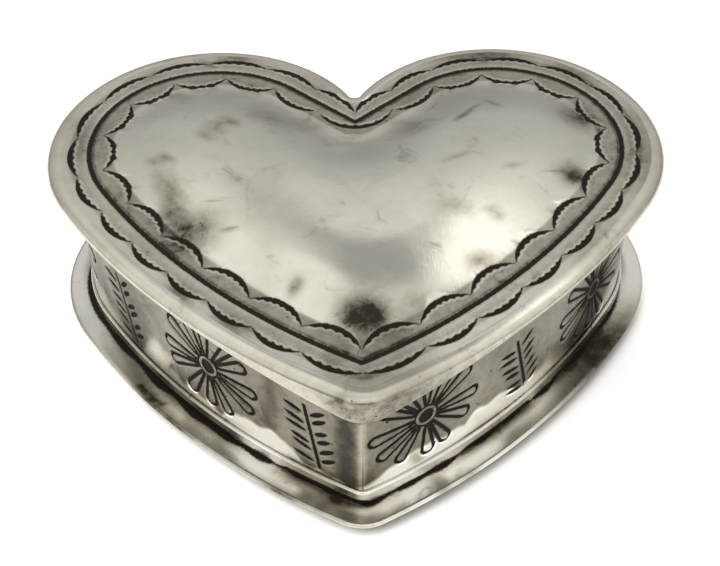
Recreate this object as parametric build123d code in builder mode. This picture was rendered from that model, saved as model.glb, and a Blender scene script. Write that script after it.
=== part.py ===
from build123d import *
import os
from math import atan2, cos, degrees, hypot, pi, radians, sin, sqrt, tan

# Heart-shaped wind-up music box of stamped silver sheet, with a pinned-cylinder movement.
# Millimetres, +Z up. The origin is under the middle of the box, on the surface it stands on.
# The heart's tip points along -Y and its two lobes along +Y.

# Heart: the outside of the wall
lobe_spacing = 56.2
lobe_radius = 26.6
side_radius = 132.0
tip_drop = 61.0            # lobe centres to the point where the two sides would meet
wall_tip_round = 2.5
wall_cleft_round = 4.0

# Case
foot_height = 3.0
foot_radius = 4.0
foot_inset = 16.0          # from the edge of the base plate to the middle of a foot
base_sheet = 1.0
flange = 5.3               # how far base plate and lid stand out past the wall
flange_tip_round = 7.8
flange_cleft_round = 0.8
wall_sheet = 1.0
wall_height = 33.2
collar_height = 3.3
collar_sheet = 0.5
lid_sheet = 1.0
lid_edge_round = 1.6
skirt_depth = 5.9          # turned-down edge at the tip
skirt_side_depth = 1.9     # and along the lobes
skirt_taper = 23.0         # how far from the tip the edge starts to deepen
groove_inset = 3.2         # heart line on the lid, in from the outside of the wall
puff_start = 4.6           # flat border for the stamps, inside the heart line
puff_rise = 5.0
puff_span = 21.0           # width over which the puffed top would level out
puff_lobe = 2.8            # lobe radius of its flat middle
puff_tip_round = 4.8       # rounding of the tip where the top starts to rise
puff_tip_gain = 0.4        # and how fast it grows with the rise
puff_cleft_round = 14.2
puff_cleft_gain = 1.54
bezel_sheet = 0.8
bezel_depth = 4.0
bezel_clearance = 0.25
puff_steps = 5

# Movement plates
bed_length = 58.0
bed_width = 45.0
bed_corner = 7.0
bed_sheet = 1.5
post_height = 5.0
post_radius = 2.5
post_spacing_x = 48.0
post_spacing_y = 38.0
screw_radius = 1.2
screw_head_radius = 2.2
screw_head_height = 1.0
screw_reach = 4.0          # how far a screw goes into its post
key_opening_radius = 14.0

# Winding
arbor_x = -14.0
arbor_y = 1.0
arbor_radius = 1.5
arbor_end = 0.5            # how far the arbor stands out above the barrel cap
key_span = 24.0
key_sheet = 1.8
key_height = 7.5
key_wing_height = 6.0
key_eye_radius = 1.3
key_hub_radius = 3.0
key_hub_floor = 1.5
key_gap = 0.6              # key hub to bedplate
ratchet_teeth = 16
ratchet_radius = 6.0
ratchet_depth = 1.0
ratchet_thick = 1.0
ratchet_gap = 0.3
click_width = 1.6
click_rivet_radius = 1.6
click_reach = 10.0         # arbor to the click's rivet
click_heading = 43.0
click_gap = 0.12

# Spring barrel
barrel_radius = 11.5
barrel_wall = 0.8
barrel_height = 8.1
barrel_gap = 0.4
cap_thick = 0.8
spring_turns = 6
spring_strip = 0.5
spring_margin = 0.4
spring_core = 2.6

# Toothed wheels
flank_angle = 20.0
tooth_share = 0.36         # tooth thickness as a share of the pitch
addendum = 0.9             # in modules
dedendum = 1.2
crown_teeth = 40
crown_module = 0.5
crown_face = 2.0
pinion_teeth = 14
pinion_face = 1.4
train_module = 0.3
cylinder_gear_teeth = 44
cylinder_gear_face = 1.2
governor_pinion_teeth = 12
governor_angle = -45.0     # from the cylinder's axis to the governor's arbor, above +Y
worm_module = 0.4
worm_wheel_teeth = 20
worm_wheel_face = 1.0
worm_radius = 1.3
worm_turns = 4.5

# Cylinder and comb
cylinder_length = 16.0
cylinder_radius = 6.0
cylinder_arbor_radius = 0.8
bearing_wall = 1.0
bearing_ring = 1.6         # metal left round a bearing hole
bearing_gap = 0.5
pin_radius = 0.18
pin_height = 0.5
pins_per_note = 3
pin_sides = 6
pin_turn = 137.5           # from one note's first pin to the next note's
pin_shift = 23.0           # uneven spacing of the pins of a note
notes = 18
comb_thick = 0.8
comb_slot = 0.26
comb_tip_gap = 0.1
comb_bass_length = 10.0
comb_treble_length = 6.5
comb_length = 16.0
comb_seat = 5.5            # depth of the ledge that the comb lies on
comb_side_margin = 0.6
comb_screw_radius = 0.9
comb_head_radius = 1.8
comb_head_height = 1.1
comb_screw_reach = 5.0

# Governor
governor_wall = 1.0
governor_gap = 1.4         # worm wheel to each side of the frame
fly_radius = 4.6
fly_height = 5.0
fly_sheet = 0.4
fly_shaft_radius = 0.6
fly_hub_radius = 1.2
fly_pivot_radius = 0.4
fly_pivot_length = 0.9
fly_disc_radius = 3.5
fly_disc_thick = 0.6
fly_gap = 1.6              # worm thread to the vanes
cock_pillar_radius = 1.8
cock_pillar_gap = 0.9
cock_thick = 1.2
cock_width = 5.0
stop_offset = 2.4          # fly axis to the plunger
stop_radius = 0.8
stop_pad_radius = 1.3
stop_pad_thick = 0.7
stop_travel = 1.8
stop_head_radius = 2.2
stop_head_thick = 0.9
stop_gap = 0.1             # closed: pad to disc
stop_lid_gap = 0.4
stop_wire_radius = 0.25
stop_coil_turns = 3.5

# Fits
running_gap = 0.05         # shaft in a bearing, on the radius
fixed_gap = 0.02           # piece fixed on its shaft, on the radius

# Levels
base_z = foot_height
floor_z = base_z + base_sheet
wall_top_z = floor_z + wall_height
rim_z = wall_top_z + lid_sheet
skirt_z = rim_z - skirt_depth
bed_z = floor_z + post_height
deck_z = bed_z + bed_sheet
ratchet_z = deck_z + ratchet_gap
barrel_z = ratchet_z + ratchet_thick + barrel_gap
cap_z = barrel_z + barrel_height
crown_z = cap_z + cap_thick

# Places along and across the movement
crown_radius = crown_teeth * crown_module / 2
pinion_radius = pinion_teeth * crown_module / 2
axis_y = arbor_y
axis_z = crown_z + dedendum * crown_module + pinion_radius
pinion_x = arbor_x + crown_radius - pinion_face / 2
post_x = arbor_x + barrel_radius + bearing_gap
cylinder_x = post_x + bearing_wall + bearing_gap
cylinder_end_x = cylinder_x + cylinder_length
gear_x = cylinder_end_x + bearing_gap
frame_x = gear_x + cylinder_gear_face + bearing_gap
wheel_x = frame_x + governor_wall + governor_gap
frame_end_x = wheel_x + worm_wheel_face + governor_gap
train_distance = train_module * (cylinder_gear_teeth + governor_pinion_teeth) / 2
governor_y = axis_y + train_distance * cos(radians(governor_angle))
governor_z = axis_z + train_distance * sin(radians(governor_angle))
wheel_radius = worm_module * worm_wheel_teeth / 2
worm_lead = pi * worm_module
fly_x = wheel_x + worm_wheel_face / 2
fly_y = governor_y + wheel_radius + worm_radius
thread_z = governor_z - worm_lead * (0.25 + int(worm_turns / 2))
vane_z = thread_z + worm_lead * worm_turns + fly_gap
disc_z = vane_z + fly_height
stop_z = disc_z + fly_disc_thick + stop_gap
cock_z = stop_z + stop_pad_thick + stop_travel
pillar_y = fly_y + fly_radius + cock_pillar_gap + cock_pillar_radius
stop_y = fly_y - stop_offset

# Heart geometry, measured from the middle of the line between the lobe centres
lobe_x = lobe_spacing / 2
tip_to_lobe = hypot(lobe_x, tip_drop)
lobe_reach = side_radius - lobe_radius
side_cos = (tip_to_lobe**2 + side_radius**2 - lobe_reach**2) / (2 * tip_to_lobe * side_radius)
side_heading = atan2(tip_drop, lobe_x) + atan2(sqrt(1 - side_cos**2), side_cos)
side_x = side_radius * cos(side_heading)
side_y = side_radius * sin(side_heading) - tip_drop


def tip_middle(grow, tip_round):
    """How far along Y the middle of the tip's rounding lies from the lobe centres."""
    return side_y - sqrt((side_radius + grow - tip_round)**2 - side_x**2)


flange_low = tip_middle(flange, flange_tip_round) - flange_tip_round
lobe_y = -(flange_low + lobe_radius + flange) / 2


def heart(grow, tip_round, cleft_round):
    """Filled heart, grown outward from the outside of the wall."""
    lobe = lobe_radius + grow
    tip_y = tip_middle(grow, tip_round)
    cleft_y = sqrt((lobe + cleft_round)**2 - lobe_x**2)
    at_tip = degrees(atan2(tip_y - side_y, -side_x))
    at_lobe = degrees(atan2(-side_y, lobe_x - side_x))
    at_cleft = degrees(atan2(cleft_y, -lobe_x))
    with BuildSketch() as outline:
        with BuildLine():
            CenterArc((0, lobe_y + tip_y), tip_round, -90, at_tip + 90)
            CenterArc((side_x, lobe_y + side_y), side_radius + grow, at_tip, at_lobe - at_tip)
            CenterArc((lobe_x, lobe_y), lobe, at_lobe, at_cleft - at_lobe)
            CenterArc((0, lobe_y + cleft_y), cleft_round, at_cleft - 180, 90 - at_cleft)
            mirror(about=Plane.YZ)
        make_face()
    return outline.sketch


def heart_ring(outside, thickness, tip_round, cleft_round):
    """Strip of sheet bent to the heart, with its outside grown from the wall's outside."""
    with BuildSketch() as ring:
        add(heart(outside, tip_round, cleft_round))
        add(heart(outside - thickness, tip_round - thickness, cleft_round + thickness), mode=Mode.SUBTRACT)
    return ring.sketch


def gear(teeth, module, turn):
    """Toothed outline with straight flanks; turn is the angle of one tooth."""
    pitch_radius = teeth * module / 2
    radii = (pitch_radius - dedendum * module, pitch_radius + addendum * module)
    points = []
    for k in range(teeth):
        for radius, side in ((radii[0], -1), (radii[1], -1), (radii[1], 1), (radii[0], 1)):
            half = tooth_share * pi * module / 2 - (radius - pitch_radius) * tan(radians(flank_angle))
            angle = radians(turn) + 2 * pi * k / teeth + side * half / radius
            points.append((radius * cos(angle), radius * sin(angle)))
    with BuildSketch() as outline:
        with BuildLine():
            Polyline(*points, close=True)
        make_face()
    return outline.sketch


puff_reach = lobe_radius - groove_inset - puff_start - puff_lobe


def puff_height(inset):
    """Rise of the puffed top at a distance in from its flat border."""
    return puff_rise * (1 - (1 - min(inset, puff_span) / puff_span)**2)


def lid_form(shrink):
    """Lid filled to its skirt; shrunk by the sheet it is the hollow under the lid."""
    with BuildPart() as form:
        with BuildSketch(Plane.XY.offset(skirt_z)):
            add(heart(flange - shrink, flange_tip_round - shrink, flange_cleft_round + shrink))
        extrude(amount=skirt_depth - shrink)
        fillet(form.faces().sort_by(Axis.Z)[-1].edges(), lid_edge_round - shrink)
        for step in range(puff_steps):
            inset = puff_reach * step / (puff_steps - 1)
            grow = -groove_inset - puff_start - inset - shrink
            tip_round = puff_tip_round + puff_tip_gain * inset
            cleft_round = puff_cleft_round + puff_cleft_gain * inset
            with BuildSketch(Plane.XY.offset(rim_z - shrink + puff_height(inset))):
                add(heart(grow, tip_round, cleft_round + shrink))
        loft()
    return form.part


def save(piece, name):
    piece.label = name
    export_step(piece, f"parts/{name}.step")


os.makedirs("parts", exist_ok=True)

barrel_axis = Plane((arbor_x, arbor_y, 0))
cylinder_axis = Plane(origin=(0, axis_y, axis_z), x_dir=(0, 1, 0), z_dir=(1, 0, 0))
governor_axis = Plane(origin=(0, governor_y, governor_z), x_dir=(0, 1, 0), z_dir=(1, 0, 0))
fly_axis = Plane((fly_x, fly_y, 0))
stop_axis = Plane((fly_x, stop_y, 0))

# Base plate: flat heart of sheet with the key opening and the screw holes
with BuildPart() as base_plate:
    with BuildSketch(Plane.XY.offset(base_z)):
        add(heart(flange, flange_tip_round, flange_cleft_round))
        with Locations((arbor_x, arbor_y)):
            Circle(key_opening_radius, mode=Mode.SUBTRACT)
        with GridLocations(post_spacing_x, post_spacing_y, 2, 2):
            Circle(screw_radius + running_gap, mode=Mode.SUBTRACT)
    extrude(amount=base_sheet)
save(base_plate.part, "base_plate")

# Feet: one near the tip and one under each lobe
foot_reach = lobe_radius + flange - foot_inset
foot_places = [(0, lobe_y + flange_low + foot_inset)]
foot_offset = foot_reach * sqrt(0.5)
for side in (-1, 1):
    foot_places.append((side * (lobe_x + foot_offset), lobe_y + foot_offset))
with BuildPart() as feet:
    with BuildSketch(Plane.XY):
        with Locations(*foot_places):
            Circle(foot_radius)
    extrude(amount=foot_height)
    fillet(feet.faces().sort_by(Axis.Z)[0:3].edges(), foot_height / 3)
save(feet.part, "feet")

# Strip round the foot of the wall
with BuildPart() as base_collar:
    with BuildSketch(Plane.XY.offset(floor_z)):
        collar_tip_round = wall_tip_round + collar_sheet
        add(heart_ring(collar_sheet, collar_sheet, collar_tip_round, wall_cleft_round - collar_sheet))
    extrude(amount=collar_height)
save(base_collar.part, "base_collar")

# Wall
with BuildPart() as body_wall:
    with BuildSketch(Plane.XY.offset(floor_z)):
        add(heart_ring(0, wall_sheet, wall_tip_round, wall_cleft_round))
    extrude(amount=wall_height)
save(body_wall.part, "body_wall")

# Lid: puffed sheet with a turned-down edge
lid_outside = lid_form(0)
lid_hollow = lid_form(lid_sheet)
lid_tip_y = lobe_y + flange_low
edge_z = rim_z - skirt_side_depth
with BuildPart() as lid_shell:
    add(lid_outside)
    add(lid_hollow, mode=Mode.SUBTRACT)
    with BuildSketch(Plane.YZ):
        with BuildLine():
            taper = TangentArc((lid_tip_y + skirt_taper, edge_z), (lid_tip_y, skirt_z), tangent=(-1, 0))
            Polyline(taper @ 1, (lid_tip_y, skirt_z - lid_sheet), (-lid_tip_y, skirt_z - lid_sheet))
            Polyline((-lid_tip_y, skirt_z - lid_sheet), (-lid_tip_y, edge_z), taper @ 0)
        make_face()
    extrude(amount=lobe_spacing + lobe_radius, both=True, mode=Mode.SUBTRACT)
save(lid_shell.part, "lid_shell")

# Strip under the lid that drops inside the wall
bezel_grow = -wall_sheet - bezel_clearance
with BuildPart() as lid_bezel:
    with BuildSketch(Plane.XY.offset(wall_top_z - bezel_depth)):
        add(heart_ring(bezel_grow, bezel_sheet, wall_tip_round, wall_cleft_round - bezel_grow))
    extrude(amount=bezel_depth)
save(lid_bezel.part, "lid_bezel")

# Bedplate on its four posts
with BuildPart() as bedplate:
    with BuildSketch(Plane.XY.offset(bed_z)):
        RectangleRounded(bed_length, bed_width, bed_corner)
        with Locations((arbor_x, arbor_y)):
            Circle(arbor_radius + running_gap, mode=Mode.SUBTRACT)
        with Locations((fly_x, fly_y)):
            Circle(fly_pivot_radius + running_gap, mode=Mode.SUBTRACT)
    extrude(amount=bed_sheet)
save(bedplate.part, "bedplate")

with BuildPart() as mounting_posts:
    with BuildSketch(Plane.XY.offset(floor_z)):
        with GridLocations(post_spacing_x, post_spacing_y, 2, 2):
            Circle(post_radius)
            Circle(screw_radius + fixed_gap, mode=Mode.SUBTRACT)
    extrude(amount=post_height)
save(mounting_posts.part, "mounting_posts")

with BuildPart() as base_screws:
    with BuildSketch(Plane.XY.offset(base_z - screw_head_height)):
        with GridLocations(post_spacing_x, post_spacing_y, 2, 2):
            Circle(screw_head_radius)
    extrude(amount=screw_head_height)
    with BuildSketch(Plane.XY.offset(base_z)):
        with GridLocations(post_spacing_x, post_spacing_y, 2, 2):
            Circle(screw_radius)
    extrude(amount=base_sheet + screw_reach)
save(base_screws.part, "base_screws")

# Butterfly key, with a blind hub on the arbor
key_top = bed_z - key_gap
key_low = key_top - key_height
with BuildPart() as winding_key:
    with BuildSketch(barrel_axis.offset(key_low + key_wing_height / 2)):
        Circle(key_hub_radius)
    extrude(amount=key_height - key_wing_height / 2)
    wing_z = key_low + key_wing_height / 2
    wing_plane = Plane(origin=(arbor_x, arbor_y, wing_z), x_dir=(1, 0, 0), z_dir=(0, -1, 0))
    with BuildSketch(wing_plane):
        with Locations((-key_span / 4, 0), (key_span / 4, 0)):
            Ellipse(key_span / 4, key_wing_height / 2)
        Rectangle(key_span / 3, key_wing_height / 2)
        with Locations((-key_span / 3, 0), (key_span / 3, 0)):
            Circle(key_eye_radius, mode=Mode.SUBTRACT)
    extrude(amount=key_sheet / 2, both=True)
    with BuildSketch(barrel_axis.offset(key_low + key_wing_height / 2 + key_hub_floor)):
        Circle(arbor_radius + fixed_gap)
    extrude(amount=key_height, mode=Mode.SUBTRACT)
save(winding_key.part, "winding_key")

arbor_low = key_low + key_wing_height / 2 + key_hub_floor
with BuildPart() as winding_arbor:
    with BuildSketch(barrel_axis.offset(arbor_low)):
        Circle(arbor_radius)
    extrude(amount=crown_z + arbor_end - arbor_low)
save(winding_arbor.part, "winding_arbor")

# Ratchet with raked teeth, and the spring click whose nose rests in one of them
valley_radius = ratchet_radius - ratchet_depth
ratchet_points = []
for k in range(ratchet_teeth):
    at = 2 * pi * k / ratchet_teeth
    for radius in (valley_radius, ratchet_radius):
        ratchet_points.append((radius * cos(at), radius * sin(at)))
with BuildPart() as ratchet_wheel:
    with BuildSketch(barrel_axis.offset(ratchet_z)):
        with BuildLine():
            Polyline(*ratchet_points, close=True)
        make_face()
        Circle(arbor_radius + fixed_gap, mode=Mode.SUBTRACT)
    extrude(amount=ratchet_thick)
save(ratchet_wheel.part, "ratchet_wheel")

rivet = (click_reach * cos(radians(click_heading)), click_reach * sin(radians(click_heading)))
with BuildPart() as click:
    with BuildSketch(barrel_axis.offset(deck_z)):
        with Locations(rivet):
            Circle(click_rivet_radius)
    extrude(amount=ratchet_gap + ratchet_thick)
    with BuildSketch(barrel_axis.offset(ratchet_z)):
        with BuildLine():
            Polyline(
                (click_gap, valley_radius + click_gap),
                (0.7 * click_width, valley_radius + 0.5 * ratchet_depth + click_gap),
                (1.4 * click_width, ratchet_radius + 2 * click_gap),
                (rivet[0], rivet[1] - click_rivet_radius / 2),
                (rivet[0], rivet[1] + click_rivet_radius / 2),
                (1.3 * click_width, ratchet_radius + 0.8 * click_width),
                (click_gap, ratchet_radius + 0.4 * click_width),
                close=True,
            )
        make_face()
    extrude(amount=ratchet_thick)
save(click.part, "click")

# Spring barrel, its cap with the crown teeth, and the mainspring
with BuildPart() as spring_barrel:
    with BuildSketch(barrel_axis.offset(barrel_z)):
        Circle(barrel_radius)
        Circle(arbor_radius + running_gap, mode=Mode.SUBTRACT)
    extrude(amount=barrel_wall)
    with BuildSketch(barrel_axis.offset(barrel_z + barrel_wall)):
        Circle(barrel_radius)
        Circle(barrel_radius - barrel_wall, mode=Mode.SUBTRACT)
    extrude(amount=barrel_height - barrel_wall)
save(spring_barrel.part, "spring_barrel")

crown_depth = (addendum + dedendum) * crown_module
crown_half = tooth_share * pi * crown_module / 2
crown_slope = tan(radians(flank_angle)) * crown_module
with BuildPart() as crown_tooth:
    with BuildSketch(Plane.YZ):
        with BuildLine():
            Polyline(
                (-crown_half - dedendum * crown_slope, 0),
                (crown_half + dedendum * crown_slope, 0),
                (crown_half - addendum * crown_slope, crown_depth),
                (-crown_half + addendum * crown_slope, crown_depth),
                close=True,
            )
        make_face()
    extrude(amount=crown_face)
with BuildPart(barrel_axis.offset(cap_z)) as barrel_cap:
    with BuildSketch(barrel_axis.offset(cap_z)):
        Circle(barrel_radius)
        Circle(arbor_radius + running_gap, mode=Mode.SUBTRACT)
    extrude(amount=cap_thick)
    with Locations((0, 0, cap_thick)):
        with PolarLocations(crown_radius - crown_face / 2, crown_teeth):
            add(crown_tooth.part)
save(barrel_cap.part, "barrel_cap")

spring_end = barrel_radius - barrel_wall - spring_margin - spring_strip
spring_step = (spring_end - spring_core) / spring_turns
with BuildPart() as mainspring:
    with BuildSketch(barrel_axis.offset(barrel_z + barrel_wall + spring_margin)):
        with BuildLine():
            for face in (0, spring_strip):
                for half in range(2 * spring_turns):
                    middle = (spring_step / 2 if half % 2 else 0, 0)
                    CenterArc(middle, spring_core + face + spring_step * half / 2, 180 * (half % 2), 180)
            Line((spring_core, 0), (spring_core + spring_strip, 0))
            Line((spring_end, 0), (spring_end + spring_strip, 0))
        make_face()
    extrude(amount=barrel_height - barrel_wall - 2 * spring_margin)
save(mainspring.part, "mainspring")

# Pinned cylinder on its arbor
with BuildPart() as pin_cylinder:
    with BuildSketch(cylinder_axis.offset(cylinder_x)):
        Circle(cylinder_radius)
        Circle(cylinder_arbor_radius + fixed_gap, mode=Mode.SUBTRACT)
    extrude(amount=cylinder_length)
    note_pitch = cylinder_length / notes
    for note in range(notes):
        for pin in range(pins_per_note):
            spread = pin_turn * note + 360 * pin / pins_per_note
            angle = radians(spread + pin_shift * (note * pin % pins_per_note))
            pin_root = (cylinder_x + note_pitch * (note + 0.5), axis_y, axis_z)
            pin_plane = Plane(origin=pin_root, x_dir=(1, 0, 0), z_dir=(0, cos(angle), sin(angle)))
            with BuildSketch(pin_plane.offset(cylinder_radius - pin_height)):
                RegularPolygon(pin_radius, pin_sides)
            extrude(amount=2 * pin_height)
save(pin_cylinder.part, "pin_cylinder")

with BuildPart() as cylinder_arbor:
    with BuildSketch(cylinder_axis.offset(pinion_x - bearing_gap)):
        Circle(cylinder_arbor_radius)
    extrude(amount=frame_x + governor_wall + bearing_gap - pinion_x + bearing_gap)
save(cylinder_arbor.part, "cylinder_arbor")

with BuildPart() as drive_pinion:
    with BuildSketch(cylinder_axis.offset(pinion_x)):
        add(gear(pinion_teeth, crown_module, -90 + 180 / pinion_teeth))
        Circle(cylinder_arbor_radius + fixed_gap, mode=Mode.SUBTRACT)
    extrude(amount=pinion_face)
save(drive_pinion.part, "drive_pinion")

with BuildPart() as cylinder_gear:
    with BuildSketch(cylinder_axis.offset(gear_x)):
        add(gear(cylinder_gear_teeth, train_module, governor_angle))
        Circle(cylinder_arbor_radius + fixed_gap, mode=Mode.SUBTRACT)
    extrude(amount=cylinder_gear_face)
save(cylinder_gear.part, "cylinder_gear")

# Bearing post on the barrel's side
bearing_radius = cylinder_arbor_radius + running_gap + bearing_ring
with BuildPart() as cylinder_post:
    with BuildSketch(cylinder_axis.offset(post_x)):
        Circle(bearing_radius)
        with Locations((0, (deck_z - axis_z) / 2)):
            Rectangle(2 * bearing_radius, axis_z - deck_z)
        Circle(cylinder_arbor_radius + running_gap, mode=Mode.SUBTRACT)
    extrude(amount=bearing_wall)
save(cylinder_post.part, "cylinder_post")

# Comb: a steel plate sawn into teeth, long for the bass and short for the treble
comb_tip_y = axis_y - cylinder_radius - pin_height - comb_tip_gap
comb_back_y = comb_tip_y - comb_length
comb_x = cylinder_x - comb_side_margin
comb_width = cylinder_length + 2 * comb_side_margin
comb_z = axis_z - comb_thick / 2
comb_screw_y = comb_back_y + comb_seat / 2
comb_screws_x = (comb_x + comb_width / 4, comb_x + comb_width * 3 / 4)
with BuildPart() as comb:
    with BuildSketch(Plane.XY.offset(comb_z)):
        with Locations((comb_x, comb_back_y)):
            Rectangle(comb_width, comb_length, align=(Align.MIN, Align.MIN))
        for gap in range(notes + 1):
            tooth = comb_bass_length + (comb_treble_length - comb_bass_length) * gap / notes
            with Locations((cylinder_x + note_pitch * gap, comb_tip_y)):
                Rectangle(comb_slot, 2 * tooth, mode=Mode.SUBTRACT)
        with Locations((comb_screws_x[0], comb_screw_y), (comb_screws_x[1], comb_screw_y)):
            Circle(comb_screw_radius + running_gap, mode=Mode.SUBTRACT)
    extrude(amount=comb_thick)
save(comb.part, "comb")

with BuildPart() as comb_base:
    with BuildSketch(Plane.YZ.offset(comb_x)):
        with BuildLine():
            Polyline(
                (comb_back_y, deck_z),
                (comb_back_y + comb_seat * 1.4, deck_z),
                (comb_back_y + comb_seat * 1.4, deck_z + bed_sheet),
                (comb_back_y + comb_seat * 0.8, deck_z + 3 * bed_sheet),
                (comb_back_y + comb_seat * 0.8, comb_z - 2 * bed_sheet),
                (comb_back_y + comb_seat, comb_z - bed_sheet),
                (comb_back_y + comb_seat, comb_z),
                (comb_back_y, comb_z),
                close=True,
            )
        make_face()
    extrude(amount=comb_width)
    with BuildSketch(Plane.XY.offset(comb_z)):
        with Locations((comb_screws_x[0], comb_screw_y), (comb_screws_x[1], comb_screw_y)):
            Circle(comb_screw_radius + fixed_gap)
    extrude(amount=-comb_screw_reach, mode=Mode.SUBTRACT)
save(comb_base.part, "comb_base")

with BuildPart() as comb_screws:
    with BuildSketch(Plane.XY.offset(comb_z + comb_thick)):
        with Locations((comb_screws_x[0], comb_screw_y), (comb_screws_x[1], comb_screw_y)):
            Circle(comb_head_radius)
    extrude(amount=comb_head_height)
    with BuildSketch(Plane.XY.offset(comb_z + comb_thick)):
        with Locations((comb_screws_x[0], comb_screw_y), (comb_screws_x[1], comb_screw_y)):
            Circle(comb_screw_radius)
    extrude(amount=-comb_screw_reach)
save(comb_screws.part, "comb_screws")

# Governor frame: a U of sheet whose inner side is also the cylinder's second bearing
governor_rise = (governor_y - axis_y, governor_z - axis_z)
foot_low = deck_z - axis_z
with BuildPart() as governor_frame:
    with BuildSketch(cylinder_axis.offset(frame_x)):
        Circle(bearing_radius)
        with Locations(governor_rise):
            Circle(bearing_radius)
        with Locations((-bearing_radius, foot_low)):
            Rectangle(governor_rise[0] + 2 * bearing_radius, governor_wall, align=(Align.MIN, Align.MIN))
        make_hull()
        with Locations((0, 0), governor_rise):
            Circle(cylinder_arbor_radius + running_gap, mode=Mode.SUBTRACT)
    extrude(amount=governor_wall)
    with BuildSketch(cylinder_axis.offset(frame_end_x)):
        with Locations(governor_rise):
            Circle(bearing_radius)
        with Locations((governor_rise[0] - bearing_radius, foot_low)):
            Rectangle(2 * bearing_radius, governor_wall, align=(Align.MIN, Align.MIN))
        make_hull()
        with Locations(governor_rise):
            Circle(cylinder_arbor_radius + running_gap, mode=Mode.SUBTRACT)
    extrude(amount=governor_wall)
    with BuildSketch(Plane.XY.offset(deck_z)):
        with Locations((frame_x, governor_y - bearing_radius)):
            Rectangle(frame_end_x + governor_wall - frame_x, 2 * bearing_radius, align=(Align.MIN, Align.MIN))
    extrude(amount=governor_wall)
save(governor_frame.part, "governor_frame")

with BuildPart() as governor_arbor:
    with BuildSketch(governor_axis.offset(gear_x - bearing_gap)):
        Circle(cylinder_arbor_radius)
    extrude(amount=frame_end_x + governor_wall + bearing_gap - gear_x + bearing_gap)
save(governor_arbor.part, "governor_arbor")

with BuildPart() as governor_pinion:
    with BuildSketch(governor_axis.offset(gear_x)):
        add(gear(governor_pinion_teeth, train_module, governor_angle + 180 + 180 / governor_pinion_teeth))
        Circle(cylinder_arbor_radius + fixed_gap, mode=Mode.SUBTRACT)
    extrude(amount=cylinder_gear_face)
save(governor_pinion.part, "governor_pinion")

with BuildPart() as worm_wheel:
    with BuildSketch(governor_axis.offset(wheel_x)):
        add(gear(worm_wheel_teeth, worm_module, 0))
        Circle(cylinder_arbor_radius + fixed_gap, mode=Mode.SUBTRACT)
    extrude(amount=worm_wheel_face)
save(worm_wheel.part, "worm_wheel")

# Upright endless screw with a pivot at each end; the thread meets the wheel between two teeth
worm_core = worm_radius - dedendum * worm_module
worm_tip = worm_radius + addendum * worm_module
thread_half = tooth_share * worm_lead / 2
thread_slope = tan(radians(flank_angle))
thread_sink = 0.1
thread_root = thread_half + (worm_radius - worm_core + thread_sink) * thread_slope
thread_crest = thread_half - (worm_tip - worm_radius) * thread_slope
shaft_low = deck_z + bearing_gap
shaft_top = cock_z - bearing_gap
worm_path = Helix(worm_lead, worm_lead * worm_turns, worm_radius, center=(fly_x, fly_y, thread_z))
with BuildPart() as fly_worm:
    with BuildSketch(Plane(origin=(fly_x, fly_y, thread_z), x_dir=(1, 0, 0), z_dir=(0, -1, 0))):
        with BuildLine():
            Polyline(
                (worm_core - thread_sink, -thread_root),
                (worm_tip, -thread_crest),
                (worm_tip, thread_crest),
                (worm_core - thread_sink, thread_root),
                close=True,
            )
        make_face()
    sweep(path=worm_path, is_frenet=True)
    with BuildSketch(fly_axis.offset(thread_z - thread_root)):
        Circle(worm_core)
    extrude(amount=worm_lead * worm_turns + 2 * thread_root)
    with BuildSketch(fly_axis.offset(shaft_low)):
        Circle(fly_shaft_radius)
    extrude(amount=shaft_top - shaft_low)
    with BuildSketch(fly_axis.offset(shaft_low - fly_pivot_length - bearing_gap)):
        Circle(fly_pivot_radius)
    extrude(amount=shaft_top - shaft_low + 2 * fly_pivot_length + 2 * bearing_gap)
save(fly_worm.part, "fly_worm")

# Air brake: two vanes on a hub, under the disc that the stop presses on
with BuildPart() as fly_vanes:
    vane_middle = (fly_x, fly_y, vane_z + fly_height / 2)
    with BuildSketch(Plane(origin=vane_middle, x_dir=(1, 0, 0), z_dir=(0, -1, 0))):
        RectangleRounded(2 * fly_radius, fly_height, fly_hub_radius)
    extrude(amount=fly_sheet / 2, both=True)
    with BuildSketch(fly_axis.offset(vane_z)):
        Circle(fly_hub_radius)
    extrude(amount=fly_height)
    with BuildSketch(fly_axis.offset(disc_z)):
        Circle(fly_disc_radius)
    extrude(amount=fly_disc_thick)
    with BuildSketch(fly_axis.offset(vane_z)):
        Circle(fly_shaft_radius + fixed_gap)
    extrude(amount=fly_height + fly_disc_thick, mode=Mode.SUBTRACT)
save(fly_vanes.part, "fly_vanes")

# Pillar and arm with the fly's upper bearing and the plunger's guide
with BuildPart() as governor_cock:
    with BuildSketch(Plane.XY.offset(deck_z)):
        with Locations((fly_x, pillar_y)):
            Circle(cock_pillar_radius)
    extrude(amount=cock_z - deck_z)
    with BuildSketch(Plane.XY.offset(cock_z)):
        with Locations((fly_x, (pillar_y + stop_y) / 2)):
            SlotCenterToCenter(pillar_y - stop_y, cock_width, rotation=90)
        with Locations((fly_x, fly_y)):
            Circle(fly_pivot_radius + running_gap, mode=Mode.SUBTRACT)
        with Locations((fly_x, stop_y)):
            Circle(stop_radius + running_gap, mode=Mode.SUBTRACT)
    extrude(amount=cock_thick)
save(governor_cock.part, "governor_cock")

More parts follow.
